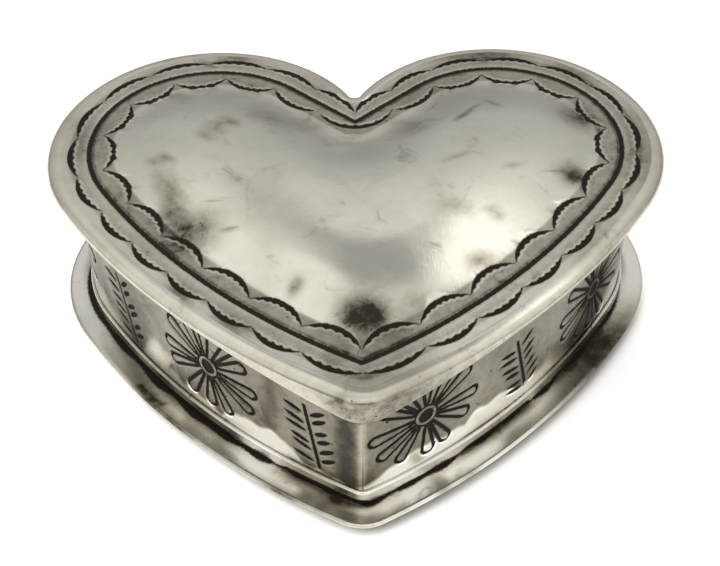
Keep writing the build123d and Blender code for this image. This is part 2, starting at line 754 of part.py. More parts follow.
# Stop: the closed lid holds the plunger's pad on the fly's disc, and the coil lifts it
head_top = wall_top_z + puff_height(puff_reach) - stop_lid_gap
head_z = head_top - stop_head_thick
with BuildPart() as stop_plunger:
    with BuildSketch(stop_axis.offset(stop_z)):
        Circle(stop_pad_radius)
    extrude(amount=stop_pad_thick)
    with BuildSketch(stop_axis.offset(stop_z)):
        Circle(stop_radius)
    extrude(amount=head_z - stop_z)
    with BuildSketch(stop_axis.offset(head_z)):
        Circle(stop_head_radius)
    extrude(amount=stop_head_thick)
    fillet(stop_plunger.edges().sort_by(Axis.Z)[-1], stop_head_thick / 2)
save(stop_plunger.part, "stop_plunger")

coil_low = cock_z + cock_thick + stop_wire_radius
coil_height = head_z - stop_wire_radius - coil_low
coil_radius = (stop_radius + stop_head_radius) / 2
coil_path = Helix(coil_height / stop_coil_turns, coil_height, coil_radius, center=(fly_x, stop_y, coil_low))
with BuildPart() as stop_spring:
    with BuildSketch(Plane(origin=coil_path @ 0, z_dir=coil_path % 0)):
        Circle(stop_wire_radius)
    sweep(path=coil_path, is_frenet=True)
save(stop_spring.part, "stop_spring")
print(f"stop spring: gap between turns {coil_height / stop_coil_turns - 2 * stop_wire_radius:.2f} mm")
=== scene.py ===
from math import acos, asin, atan2, cos, hypot, pi, radians, sin, sqrt

import bpy
import numpy as np
from mathutils import Matrix, Vector
from mathutils.geometry import delaunay_2d_cdt


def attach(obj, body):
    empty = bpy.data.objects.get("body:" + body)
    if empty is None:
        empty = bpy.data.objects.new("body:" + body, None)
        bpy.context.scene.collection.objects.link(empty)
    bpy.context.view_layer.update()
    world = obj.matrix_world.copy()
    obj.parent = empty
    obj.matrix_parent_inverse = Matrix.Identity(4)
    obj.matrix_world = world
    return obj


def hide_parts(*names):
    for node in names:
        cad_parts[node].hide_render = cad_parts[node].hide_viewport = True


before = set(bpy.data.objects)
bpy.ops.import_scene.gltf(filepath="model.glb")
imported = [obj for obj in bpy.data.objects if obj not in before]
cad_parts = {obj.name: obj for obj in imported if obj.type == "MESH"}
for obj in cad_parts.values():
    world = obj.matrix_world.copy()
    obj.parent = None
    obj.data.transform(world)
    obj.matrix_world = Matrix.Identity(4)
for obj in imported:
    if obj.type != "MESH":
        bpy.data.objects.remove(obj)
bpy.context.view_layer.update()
scene = bpy.context.scene

# Heart-shaped music box of stamped silver sheet. Lengths here are in millimetres, as in the solids,
# and become metres where a mesh, the camera or a lamp is made.
MM = 0.001

corners = ((-1, -1), (-1, 1), (1, -1), (1, 1))

# Heart: the outside of the wall
lobe_spacing = 56.2
lobe_radius = 26.6
side_radius = 132.0
tip_drop = 61.0
wall_tip_round = 2.5
wall_cleft_round = 4.0

# Case
base_z = 3.0  # underside of the base plate
floor_z = 4.0  # its top
wall_top_z = 37.2
wall_sheet = 1.0
collar_height = 3.3
collar_sheet = 0.5
flange = 5.3  # how far the base plate and the lid stand out from the wall
flange_tip_round = 7.8
flange_cleft_round = 0.8
lid_sheet = 1.0
rim_z = wall_top_z + lid_sheet
lid_edge_round = 1.6
skirt_depth = 5.9
skirt_side_depth = 1.9
skirt_taper = 23.0
puff_rise = 5.05
puff_span = 20.0
puff_start = 4.6  # flat border inside the heart line, under the stamps
puff_soft = 2.5  # how gently the top starts to rise
cleft_ease = 0.24  # it rises more slowly beside the cleft
lobe_ease = 0.14  # and over the lobes
thinning = 0.06  # the sheet gets thinner as it is raised
groove_inset = 3.2
groove_cleft = 6.5  # heart line's cleft, above the lobe centres

# Heart geometry, measured from the middle of the line between the lobe centres
lobe_x = lobe_spacing / 2
tip_to_lobe = hypot(lobe_x, tip_drop)
lobe_reach = side_radius - lobe_radius
side_cos = (tip_to_lobe**2 + side_radius**2 - lobe_reach**2) / (2 * tip_to_lobe * side_radius)
side_heading = atan2(tip_drop, lobe_x) + acos(side_cos)
side_x = side_radius * cos(side_heading)
side_y = side_radius * sin(side_heading) - tip_drop
at_lobe = atan2(-side_y, lobe_x - side_x)  # where the side's arc meets the lobe's


def tip_middle(grow, tip_round):
    """Centre of the tip's rounding."""
    return side_y - sqrt((side_radius + grow - tip_round)**2 - side_x**2)


flange_low = tip_middle(flange, flange_tip_round) - flange_tip_round
lobe_y = -(flange_low + lobe_radius + flange) / 2
lid_tip_y = lobe_y + flange_low


def add_object(name, data):
    made = bpy.data.objects.new(name, data)
    scene.collection.objects.link(made)
    return made


def smooth(value):
    """Soft step: 0 below 0, 1 above 1."""
    value = np.clip(value, 0.0, 1.0)
    return value * value * (3.0 - 2.0 * value)


def bell(value, power=2):
    """1 at 0, less to both sides. A higher power makes its top flatter."""
    return np.exp(-np.abs(value)**power)


def spot(x, y, cx, cy, rx, ry, turn=0.0):
    """Soft round patch, 1 in the middle."""
    c = cos(radians(turn))
    s = sin(radians(turn))
    u = ((x - cx) * c + (y - cy) * s) / rx
    v = ((y - cy) * c - (x - cx) * s) / ry
    return np.exp(-(u * u + v * v))


def patches(x, y, places):
    """Sum of soft patches: place, size, a turn or none, and strength of each."""
    return sum(strength * spot(x, y, *place) for *place, strength in places)


def heart_arcs(grow, tip_round, cleft_round):
    """Centre, radius, first and last angle, and side of each arc of the right half, tip to cleft."""
    lobe = lobe_radius + grow
    tip_y = tip_middle(grow, tip_round)
    cleft_y = sqrt((lobe + cleft_round)**2 - lobe_x**2)
    at_tip = atan2(tip_y - side_y, -side_x)
    at_cleft = atan2(cleft_y, -lobe_x)
    return [
        ((0.0, tip_y), tip_round, -pi / 2, at_tip, 1.0),
        ((side_x, side_y), side_radius + grow, at_tip, at_lobe, 1.0),
        ((lobe_x, 0.0), lobe, at_lobe, at_cleft, 1.0),
        ((0.0, cleft_y), cleft_round, at_cleft - pi, -pi / 2, -1.0),
    ]


def share_columns(arcs, columns):
    """Columns for each arc, by its length."""
    lengths = [abs(last - first) * radius for _, radius, first, last, _ in arcs]
    counts = [max(4, round(columns * length / sum(lengths))) for length in lengths]
    counts[1] += columns - sum(counts)
    return counts


def wall_counts(columns):
    """Columns for each arc of the wall."""
    return share_columns(heart_arcs(0.0, wall_tip_round, wall_cleft_round), columns)


def half_row(grow, tip_round, cleft_round, counts):
    """Points and outward normals of the right half of a heart, from tip to cleft."""
    points = []
    normals = []
    arcs = heart_arcs(grow, tip_round, cleft_round)
    for index, (centre, radius, first, last, side) in enumerate(arcs):
        steps = np.arange(counts[index] + (index == 3)) / counts[index]
        angle = first + (last - first) * steps
        spoke = np.stack([np.cos(angle), np.sin(angle)], axis=1)
        points.append(np.array(centre) + radius * spoke + np.array([0.0, lobe_y]))
        normals.append(side * spoke)
    points = np.concatenate(points)
    points[[0, -1], 0] = 0.0
    return points, np.concatenate(normals)


def wall_half(grow, counts):
    """Right half of the wall's outline, moved outward, with its normals."""
    return half_row(grow, wall_tip_round + grow, wall_cleft_round - grow, counts)


def whole(half):
    """Closed heart: the right half, then the left half back."""
    return np.concatenate([half, half[-2:0:-1] * np.array([-1.0, 1.0])])


def flange_ring(inset, tip_round, counts):
    """Closed heart inside the edge of the lid and the base plate."""
    return whole(half_row(flange - inset, tip_round, flange_cleft_round + inset, counts)[0])


def lengths_along(points):
    """Length along a row, from its first point to each."""
    return np.concatenate([[0.0], np.cumsum(np.hypot(*np.diff(points, axis=0).T))])


def along_wall(points):
    """Length along the wall, from the tip, nearest to each point. Left is negative."""
    border = wall_half(0.0, wall_counts(360))[0]
    gap = np.hypot(np.abs(points[:, :1]) - border[:, 0], points[:, 1:2] - border[:, 1])
    return np.sign(points[:, 0]) * lengths_along(border)[np.argmin(gap, axis=1)]


class Shell:
    """Mesh made of rows of points, closed rings or open strips."""

    def __init__(self):
        self.points = np.zeros((0, 3))
        self.faces = []
        self.oxide = []
        self.tarnish_and_shade = []

    def row(self, points, height, oxide=0.0, tarnish_and_shade=0.0):
        """Row of points. Height, blackness and dullness are one number or one each."""
        count = len(points)
        first = len(self.points)
        self.points = np.concatenate([self.points, np.column_stack([points, np.full(count, height)])])
        self.oxide.extend(np.full(count, oxide))
        self.tarnish_and_shade.extend(np.full(count, tarnish_and_shade))
        return np.arange(first, first + count)

    def join(self, low, high, ring=True):
        """Faces between two rows; where high has half the points, two columns become one."""
        if ring:
            low = np.append(low, low[0])
            high = np.append(high, high[0])
        if len(low) == len(high):
            made = np.stack([low[:-1], low[1:], high[1:], high[:-1]], axis=1)
        else:
            made = np.stack([low[:-2:2], low[1:-1:2], low[2::2], high[1:], high[:-1]], axis=1)
        self.faces.extend(made.tolist())

    def skin(self, rows, ring=True, inward=False):
        """Faces between each row and the next."""
        first = len(self.faces)
        for low, high in zip(rows[:-1], rows[1:]):
            self.join(low, high, ring)
        if inward:
            for face in self.faces[first:]:
                face.reverse()

    def cap(self, row, tip):
        closed = np.append(row, row[0])
        made = np.stack([closed[:-1], closed[1:], np.full(len(row), tip)], axis=1)
        self.faces.extend(made.tolist())

    def make(self, name, material):
        """The piece, with its oxide, and its tarnish and painted shade, for its material."""
        mesh = bpy.data.meshes.new(name)
        mesh.from_pydata((self.points * MM).tolist(), [], self.faces)
        mesh.polygons.foreach_set("use_smooth", np.ones(len(mesh.polygons), dtype=bool))
        mesh.materials.append(material)
        for label, values in (("oxide", self.oxide), ("tarnish_and_shade", self.tarnish_and_shade)):
            layer = mesh.attributes.new(label, "FLOAT", "POINT")
            layer.data.foreach_set("value", np.asarray(values, dtype=np.float32))
        mesh.update()
        return add_object(name, mesh)


# Heart line on the lid: side arc, lobe arc and a straight run to the cleft
line_side_radius = side_radius - groove_inset
line_lobe_radius = lobe_radius - groove_inset
line_at_tip = atan2(-sqrt(line_side_radius**2 - side_x**2), -side_x)
line_at_run = atan2(groove_cleft, -lobe_x) - acos(line_lobe_radius / hypot(lobe_x, groove_cleft))
run_start = np.array([lobe_x + line_lobe_radius * cos(line_at_run), line_lobe_radius * sin(line_at_run)])
run_end = np.array([0.0, groove_cleft])
run_length = float(np.hypot(*(run_end - run_start)))
run_along = (run_end - run_start) / run_length
run_out = np.array([run_along[1], -run_along[0]])
line_arcs = (
    (side_x, side_y, line_side_radius, line_at_tip, at_lobe),
    (lobe_x, 0.0, line_lobe_radius, at_lobe, line_at_run),
)
line_length = run_length + sum(radius * (last - first) for _, _, radius, first, last in line_arcs)
line_tip_y = lobe_y + side_y - sqrt(line_side_radius**2 - side_x**2)
line_cleft_y = lobe_y + groove_cleft


def line_point(along, offset, side):
    """Point beside the heart line: length from the tip, distance outward, and -1 left or 1 right."""
    for cx, cy, radius, first, last in line_arcs:
        if along < radius * (last - first):
            angle = first + along / radius
            out = np.array([cos(angle), sin(angle)])
            point = np.array([cx, cy]) + radius * out
            break
        along -= radius * (last - first)
    else:
        out = run_out
        point = run_start + run_along * along
    point = point + out * offset + np.array([0.0, lobe_y])
    return point * np.array([side, 1.0]), out * np.array([side, 1.0])


line_parts = 419
line_step = line_length / line_parts
line_border = whole(np.array([line_point(k * line_step, 0.0, 1.0)[0] for k in range(line_parts + 1)]))


def line_distance(x, y):
    """Signed distance from the heart line, positive outside."""
    x = np.abs(x)
    y = y - lobe_y
    best = np.full(x.shape, 1e9)
    for cx, cy, radius, first, last in line_arcs:
        angle = np.clip(np.arctan2(y - cy, x - cx), first, last)
        reach = np.hypot(x - cx - radius * np.cos(angle), y - cy - radius * np.sin(angle))
        signed = np.where(np.hypot(x - cx, y - cy) > radius, reach, -reach)
        best = np.where(reach < np.abs(best), signed, best)
    off_x = x - run_start[0]
    off_y = y - run_start[1]
    along = np.clip(off_x * run_along[0] + off_y * run_along[1], 0.0, run_length)
    off_x = off_x - along * run_along[0]
    off_y = off_y - along * run_along[1]
    reach = np.hypot(off_x, off_y)
    signed = np.where(off_x * run_out[0] + off_y * run_out[1] > 0, reach, -reach)
    return np.where(reach < np.abs(best), signed, best)


def puff(x, y, distance):
    """Rise of the puffed top: a smooth pillow that starts at the heart line."""
    height = np.zeros(x.shape)
    inside = distance < 0
    x = x[inside]
    y = y[inside]
    gap = (x[:, None] - line_border[:, 0])**2 + (y[:, None] - line_border[:, 1])**2
    pull = np.sum((gap + 0.05)**-1.5, axis=1) * line_step
    soft = np.sqrt(2.0 / pull) * (1.0 - lobe_ease * smooth((y - 18.0) / 14.0))
    near = -distance[inside] * (1.0 - cleft_ease * spot(x, y, 0.0, line_cleft_y, 24.0, 27.0))
    past = near + np.minimum(soft - near, 0.0) * smooth((near - 1.0) / 3.0) - puff_start
    reach = 0.5 * (past + np.sqrt(past**2 + puff_soft))
    reach -= 0.5 * (sqrt(puff_start**2 + puff_soft) - puff_start)
    height[inside] = puff_rise * (1.0 - (1.0 - np.minimum(reach / puff_span, 1.0))**2)
    return height


# Scallop stamps along both sides of the heart line
outer_count = 14
outer_offset = {-1.0: 3.05, 1.0: 2.85}
outer_rise = 2.0
outer_width = 0.8
outer_drift = {-1.0: -2.2, 1.0: 2.0}
outer_end = 147.7
outer_tip_y = line_tip_y - 2.6
outer_cleft_y = line_cleft_y + 2.9
inner_count = 12
inner_offset = -2.0
inner_rise = 2.7
inner_width = 0.76
inner_start = 1.5
inner_end = 142.0
inner_tip_y = line_tip_y + 2.7
cleft_stamp = ((-7.2, line_cleft_y + 3.3), (7.4, line_cleft_y + 3.5))
cleft_stamp_rise = 5.5
cleft_stamp_teeth = 8
stamp_teeth = 6
stamp_least = 0.3  # thickness near its ends
stamp_bite = 0.36  # depth of its teeth
stamp_slope = 0.3  # width of its pressed edge
stamp_depth = 0.24
lip_off = 0.3  # polished lip beside a stamp
lip_half = 0.26
groove_half = 0.54
groove_shift = 0.13
groove_depth = 0.2
stamped_band = 8.5  # no stamp is further from the heart line


def crescent(x, y, start, end, out, rise, width, teeth):
    """One stamp: its depth, 0 to 1, its polished lip, and the distance inside its edge."""
    half = float(np.hypot(*(end - start))) / 2
    along = (end - start) / (2 * half)
    across = np.array([-along[1], along[0]])
    if np.dot(across, out) < 0:
        across = -across
    radius = (half**2 + rise**2) / (2 * rise)
    centre = (start + end) / 2 - across * (radius - rise)
    off_x = x - centre[0]
    off_y = y - centre[1]
    reach = np.hypot(off_x, off_y)
    turn = np.arctan2(off_x * along[0] + off_y * along[1], off_x * across[0] + off_y * across[1])
    share = turn / asin(half / radius)
    belly = np.clip(1.0 - share**2, 0.0, 1.0)
    bite = 1.0 - np.abs(np.sin(pi * teeth * (share + 1.0) / 2))
    thick = (stamp_least + width * belly**0.8 + stamp_bite * bite) * belly**0.3
    inside = np.minimum(radius - reach, reach - radius + thick)
    inside = np.minimum(inside, (1.0 - np.abs(share)) * half)
    press = smooth((inside - 0.04) / stamp_slope)
    lip = bell((reach - radius + thick + lip_off) / lip_half) * smooth((1.0 - np.abs(share)) / 0.2)
    return press, lip, inside


def scallops():
    """Ends, outward direction, rise, thickness and teeth of every stamp on the lid."""
    made = []
    for side in (-1.0, 1.0):
        outer = []
        for k in range(outer_count + 1):
            along = outer_end * k / outer_count + outer_drift[side] * sin(pi * k / outer_count)
            outer.append(line_point(along, outer_offset[side], side))
        outer[0] = (np.array([0.0, outer_tip_y]), outer[0][1])
        outer[-1] = (np.array([0.0, outer_cleft_y]), outer[-1][1])
        for (start, first), (end, last) in zip(outer[:-1], outer[1:]):
            made.append((start, end, first + last, outer_rise, outer_width, stamp_teeth))
        inner = []
        for k in range(inner_count + 1):
            along = inner_start + (inner_end - inner_start) * k / inner_count
            inner.append(line_point(along, inner_offset, side))
        inner[0] = (np.array([0.0, inner_tip_y]), inner[0][1])
        for k, ((start, first), (end, last)) in enumerate(zip(inner[:-1], inner[1:])):
            made.append((start, end, -first - last, inner_rise, inner_width, stamp_teeth + 2 * k % 3))
    start, end = np.array(cleft_stamp)
    made.append((start, end, np.array([0.0, -1.0]), cleft_stamp_rise, inner_width, cleft_stamp_teeth))
    return made


lid_stamps = scallops()


def lid_relief(x, y):
    """Distance from the heart line, height above the plain lid, blackness and polished lips."""
    distance = line_distance(x, y)
    height = np.zeros(x.shape)
    oxide = np.zeros(x.shape)
    polish = np.zeros(x.shape)
    band = np.abs(distance) < stamped_band
    parts = [crescent(x[band], y[band], *stamp) for stamp in lid_stamps]
    press, lip, black = np.max(parts, axis=0)
    off = np.abs(distance[band] - groove_shift)
    black = np.maximum(black, 0.8 * (groove_half - off))
    height[band] = -stamp_depth * press - groove_depth * bell(off / groove_half, 3)
    oxide[band] = np.clip(0.5 + black, 0.0, 1.0)
    polish[band] = lip
    return distance, height, oxide, polish


def skirt_low(y):
    """Height of the lid's lower edge: it deepens toward the tip along an arc."""
    drop = skirt_depth - skirt_side_depth
    bend = (skirt_taper**2 + drop**2) / (2 * drop)
    past = np.clip(lid_tip_y + skirt_taper - y, 0.0, skirt_taper)
    return rim_z - skirt_side_depth - bend + np.sqrt(bend**2 - past**2)


# Dents and swellings of the hand-raised top: place, size and height
waves = (
    (0, -30, 16, 9, 0.1), (18, -14, 11, 9, -0.1), (-18, -18, 12, 8, 0.09), (-26, 10, 14, 12, 0.1),
    (27, 12, 13, 12, 0.08), (2, -6, 20, 8, -0.12),
)
rim_ripple = 0.07  # unevenness of the flat rim

# Tarnish on the lid, with painted dark reflection among it, as in the two patches beside the cleft:
# place, size, turn and strength
lid_stains_and_shade = (
    (0.7, -30.6, 4, 3.3, 0, 1.1), (41, 5.6, 2.5, 2.5, 0, 0.8), (-37, 10, 1.7, 1.1, 0, 0.5),
    (-35.2, 1.9, 2, 5.8, 20, 0.45), (-30.2, -8.8, 4.6, 4.2, 30, 0.54),
    (-34.4, -4.5, 2.6, 3.6, 20, 0.36), (-24.9, 20.1, 1.6, 0.8, 0, 0.5),
    (-29.9, 14.8, 1.9, 0.8, 25, 0.4), (-27.5, 17.4, 2, 0.7, 40, 0.3), (-35.3, 32, 1.8, 1.5, 0, 0.35),
    (-17.1, 22.4, 4.2, 3, -15, 0.3), (-25.3, 8.4, 1.8, 1, 0, 0.15), (-23, -9.3, 0.55, 0.6, 0, 0.6),
    (-26.2, -2.5, 1.9, 0.25, 15, 0.3), (-11.4, -23.8, 1.2, 1.7, -25, 0.45),
    (22.5, 22.9, 0.35, 2.4, -32, 0.6), (21, 21.3, 0.7, 0.7, 0, 0.4), (24.9, 28, 1.6, 0.3, 5, 0.4),
    (15.9, 26.8, 0.5, 0.4, 0, 0.5), (8.7, 11.1, 0.9, 0.25, -20, 0.4), (18.8, 7.3, 2.6, 0.6, 0, 0.25),
    (9.8, 1.9, 0.8, 0.3, 10, 0.4), (29.6, 5.5, 1.2, 0.9, 0, 0.2), (28.5, 1.4, 0.35, 0.4, 0, 0.4),
    (36.8, 6.4, 0.2, 1.4, 0, 0.4), (17.1, -5.8, 3, 2, 0, 0.2), (24.9, -6.5, 1.2, 1.6, 0, 0.3),
    (21.5, -17.1, 2.8, 1.7, 35, 0.36), (43.7, 23.1, 3, 4.6, 20, 0.46), (9.4, -26.9, 3, 1.6, 30, 0.35),
    (10.9, 18.9, 3.2, 2.4, 20, 0.3), (-31.5, -23, 2.6, 1.6, -40, 0.5), (-24.3, 45.3, 4, 2, -10, 0.35),
    (26, 45.2, 10, 2.4, 3, 0.4), (-22.2, -31.2, 4.5, 1.8, -38, 0.4), (45.5, 38.5, 6, 2.2, -45, 0.3),
    (-53.5, 18, 2.2, 9, 0, 0.16), (56, 14, 2.8, 14, 0, 0.26), (45, -8, 4, 10, -30, 0.1),
    (53, 4, 4, 9, 0, 0.14), (-2, line_tip_y - 3.4, 9, 2.6, 0, 0.18),
    # Painted dark reflection beside the cleft, where the top slopes toward the dark back
    (-9, line_cleft_y - 2, 4, 2, 25, 0.2), (10, line_cleft_y - 2, 4, 2, -25, 0.2),
)
lid_patch_strength = 1.25
flat_tarnish = 0.09  # all over the top
rim_tarnish = 0.05  # more outside the heart line
inner_tarnish = 0.38  # more between the heart line and the inner stamps
inner_band = 4.6
outer_tarnish = 0.24  # more between the heart line and the outer stamps
outer_band = 4.4
groove_tarnish = 0.4  # more along the heart line's inner edge
beside_tarnish = 0.12  # and a little beyond its outer edge
back_tarnish = 0.1  # more on the rim toward the back, at the right
lip_shine = 0.6  # less on the polished lips
skirt_tarnish = 0.26
edge_tarnish = 0.5  # along the lid's lower edge
# Painted shade on the skirt, darker at the tip and on its right and left, for the darker surroundings it
# reflects
tip_painted_shade = 0.38  # more on the skirt at the tip, and on its right and left
right_painted_shade = 0.22
left_painted_shade = 0.12


def lid_tarnish_and_shade(x, y, distance, polish):
    """How dull each point of the lid's top is."""
    dull = flat_tarnish + rim_tarnish * smooth(distance + 1.0)
    dull += inner_tarnish * smooth((distance + inner_band) / 0.8) * smooth(-distance / 0.8)
    dull += outer_tarnish * smooth((distance - 1.0) / 2.0) * smooth((outer_band - distance) / 0.8)
    dull += groove_tarnish * bell((distance + 0.5) / 0.35) + beside_tarnish * bell((distance - 1.3) / 0.9)
    back = smooth((y + 5.0) / 40.0) * smooth((x + 60.0) / 90.0)
    dull += back_tarnish * smooth(distance / 0.6) * back
    dull += lid_patch_strength * patches(x, y, lid_stains_and_shade)
    return np.clip(dull * (1.0 - lip_shine * polish), 0.0, 1.0)


def lid_height(x, y):
    """Height of the lid's top with its stamps, how black and how dull it is."""
    distance, relief, oxide, polish = lid_relief(x, y)
    height = puff(x, y, distance) + patches(x, y, waves) * smooth((-distance - 2.0) / 6.0)
    ripple = rim_ripple * (np.sin(x / 7.0 + 1.0) * np.sin(y / 8.0) - 1.0)
    height += ripple * smooth((distance - 0.5) / 2.0)
    return rim_z + height + relief, oxide, lid_tarnish_and_shade(x, y, distance, polish)


lid_columns = 624
skirt_rows = 4
roll_rows = 9
roll_width = 2.6  # the edge rolls over softly
band_end = 13.0
band_rows = 46
edge_soft = 0.25
inner_round = 0.3  # between the skirt and the underside
centre_y = -4.0
# Rows from the stamped band to the middle: share of the way, and how many columns become one
top_rows = (
    (0.03, 1), (0.07, 2), (0.12, 2), (0.17, 2), (0.23, 4), (0.29, 4), (0.36, 4), (0.43, 4),
    (0.51, 8), (0.59, 8), (0.67, 8), (0.75, 8), (0.83, 16), (0.91, 16), (0.97, 16),
)
under_insets = (3.0, 5.0, 7.0, 8.6, 9.6, 11.0, band_end)
under_rows = ((0.1, 4), (0.2, 4), (0.32, 8), (0.45, 8), (0.6, 8), (0.75, 16), (0.9, 16))


def tip_round_at(inset):
    """Rounding of the tip on a row of the lid's top."""
    plain = flange_tip_round - inset
    least = 1.4 + 0.12 * inset
    return least + 0.5 * ((plain - least) + sqrt((plain - least)**2 + 0.3))


def make_lid(material):
    """Closed lid: skirt, rolled edge, stamped top and plain underside."""
    shell = Shell()
    counts = wall_counts(lid_columns)

    def plain(points, height, tarnish_and_shade=skirt_tarnish, share=1.0):
        # Painted shade on the skirt, at the tip and on its sides
        shade = tip_painted_shade * spot(*points.T, 2.0, lid_tip_y, 12.0, 9.0)
        shade += right_painted_shade * smooth(points[:, 0] / 20.0) + left_painted_shade * smooth(-points[:, 0] / 20.0)
        return shell.row(points, height, 0.0, tarnish_and_shade + share * shade)

    def stamped(points):
        return shell.row(points, *lid_height(*points.T))

    def beneath(points):
        raised = puff(*points.T, line_distance(*points.T))
        return plain(points, rim_z - lid_sheet + raised * (1.0 + thinning))

    def ring(inset):
        return flange_ring(inset, flange_tip_round - inset, counts)

    def top_ring(inset):
        return flange_ring(inset, tip_round_at(inset), counts)

    def inward(share, step):
        return (border + (centre - border) * share)[::step]

    outside = ring(0.0)
    border = top_ring(band_end)
    centre = np.array([[0.0, centre_y]])
    low = skirt_low(outside[:, 1])
    rows = [
        plain(ring(edge_soft), low, edge_tarnish),
        plain(ring(edge_soft * 0.3), low + edge_soft * 0.3, edge_tarnish),
    ]
    for k in range(skirt_rows + 1):
        rise = k / skirt_rows
        rows.append(plain(outside, (low + edge_soft) * (1 - rise) + (rim_z - lid_edge_round) * rise))
    for k in range(1, roll_rows + 1):
        angle = pi / 2 * k / roll_rows
        height = rim_z - rim_ripple - (lid_edge_round - rim_ripple) * (1 - sin(angle))
        fade = smooth(1.3 * k / roll_rows)
        level = skirt_tarnish + (flat_tarnish + rim_tarnish - skirt_tarnish) * fade
        rows.append(plain(ring(roll_width * (1 - cos(angle))), height, level, 1.0 - fade))
    insets = np.linspace(roll_width, band_end, band_rows + 1)
    rows += [stamped(top_ring(inset)) for inset in insets[1:]]
    rows += [stamped(inward(share, step)) for share, step in top_rows]
    shell.skin(rows)
    shell.cap(rows[-1], stamped(centre)[0])
    peak_z = shell.points[-1, 2]

    under = [
        rows[0],
        plain(ring(lid_sheet - edge_soft)[::2], low[::2]),
        plain(ring(lid_sheet)[::4], low[::4] + edge_soft),
        plain(ring(lid_sheet)[::4], rim_z - lid_sheet - inner_round),
        plain(ring(lid_sheet + inner_round)[::4], rim_z - lid_sheet),
    ]
    under += [beneath(top_ring(inset)[::4]) for inset in under_insets]
    under += [beneath(inward(share, step)) for share, step in under_rows]
    shell.skin(under, inward=True)
    shell.cap(under[-1][::-1], plain(centre, peak_z - lid_sheet + thinning * puff_rise)[0])
    return shell.make("lid", material)


# Ornament on the wall. Lengths run along the wall from the tip, positive to the right, and up.
# Daisies: middle. Feathers: both ends of the spine.
daisies = ((-34.5, 19.6), (-84, 19), (-132, 19.5), (13.3, 20.1), (61, 18.4), (108.5, 19.5))
feathers = (
    (-11.9, 24.4, -9, 8.6), (-62.3, 23.5, -57.4, 8.4), (-112, 24, -107.5, 9),
    (35.4, 24.1, 38.7, 10.7), (82, 24, 85.5, 9.5), (130, 24.2, 133.4, 9.6),
)
daisy_radius = 2.5  # ring round the middle
daisy_line = 0.22
daisy_heart = 1.65
petal_count = 12
petal_start = 3.42
petal_end = 10.4
petal_wide = 1.5  # petals to the sides are longer
petal_small = 0.42  # radii of a petal's ends
petal_large = 1.24
petal_line = 0.35
petal_swell = 0.12
spine_half = 0.36
dash_count = 6
dash_first = 2.2
dash_pitch = 2.45
dash_gap = 0.75
dash_length = 4.1
dash_half = 0.57
dash_lean = 24.0
wall_depth = 0.34


def line_mask(distance, half):
    return smooth((half - distance) / 0.24 + 0.6)


def petal(u, v, angle, end, large):
    """Distance from the outline of a petal: narrow at its start and round at its end."""
    c = cos(radians(angle))
    s = sin(radians(angle))
    along = u * c + v * s - petal_start
    across = np.abs(v * c - u * s)
    length = end - large - petal_start
    lean = (petal_small - large) / length
    level = sqrt(1.0 - lean * lean)
    place = along * level - across * lean
    near = np.hypot(along, across) - petal_small
    far = np.hypot(along - length, across) - large
    middle = across * level + along * lean - petal_small
    return np.where(place < 0, near, np.where(place > level * length, far, middle))


def daisy(u, v, number):
    """Lines of one daisy, and how far the middles of its petals swell."""
    reach = np.hypot(u, v)
    mark = line_mask(np.abs(reach - daisy_radius), daisy_line)
    mark = np.maximum(mark, smooth((daisy_heart - reach) / 0.25 + 0.5))
    lift = np.zeros(u.shape)
    for k in range(petal_count):
        hand = sin(2.4 * k + 1.7 * number)
        angle = 360.0 / petal_count * k + 4.0 * hand
        end = petal_end + petal_wide * abs(cos(radians(angle))) + 0.3 * sin(4.1 * k + number)
        gap = petal(u, v, angle, end, petal_large + 0.08 * hand)
        mark = np.maximum(mark, line_mask(np.abs(gap), petal_line))
        lift = np.maximum(lift, smooth(-gap / 0.8))
    return mark, lift


def feather(u, v, length, number):
    """Spine and dashes of one feather."""
    mark = line_mask(np.hypot(u - np.clip(u, 0.0, length), v), spine_half)
    for side in (-1.0, 1.0):
        out = side * v - dash_gap
        for k in range(dash_count):
            past = u - dash_first - dash_pitch * k - 0.25 * sin(3.0 * k + number + side)
            lean = radians(dash_lean + 3.0 * sin(2.0 * k + number))
            reach = dash_length - 0.5 * side + 0.4 * sin(1.7 * k + 2.0 * number + side)
            share = 2.0 * (out * cos(lean) - past * sin(lean)) / reach - 1.0
            across = out * sin(lean) + past * cos(lean)
            half = dash_half * np.clip(1.0 - share**2, 0.0, 1.0)**0.7
            dash = smooth((half - np.abs(across)) / 0.2 + 0.4) * (np.abs(share) < 1.0)
            mark = np.maximum(mark, dash)
    return mark


def wall_relief(s, z):
    """How deep the wall is pressed, 0 to 1, and how far the petals swell."""
    press = np.zeros(s.shape)
    swell = np.zeros(s.shape)
    for number, (cs, cz) in enumerate(daisies):
        near = (np.abs(s - cs) < 14.0) & (np.abs(z - cz) < 13.5)
        mark, lift = daisy(s[near] - cs, z[near] - cz, number)
        press[near] = np.maximum(press[near], mark)
        swell[near] = np.maximum(swell[near], lift)
    for number, (s0, z0, s1, z1) in enumerate(feathers):
        near = (np.abs(s - (s0 + s1) / 2) < 9.5) & (np.abs(z - (z0 + z1) / 2) < 12.0)
        length = hypot(s1 - s0, z1 - z0)
        down = ((s1 - s0) / length, (z1 - z0) / length)
        u = (s[near] - s0) * down[0] + (z[near] - z0) * down[1]
        v = (s[near] - s0) * -down[1] + (z[near] - z0) * down[0]
        press[near] = np.maximum(press[near], feather(u, v, length, number))
    return press, swell


wall_columns = 720
stamped_low = 7.4  # close rows from here
stamped_high = 33.0  # to here
stamped_rows = 112
wall_wave = 0.06  # unevenness of the sheet
wall_edge = 0.2  # bevel of its upper edge
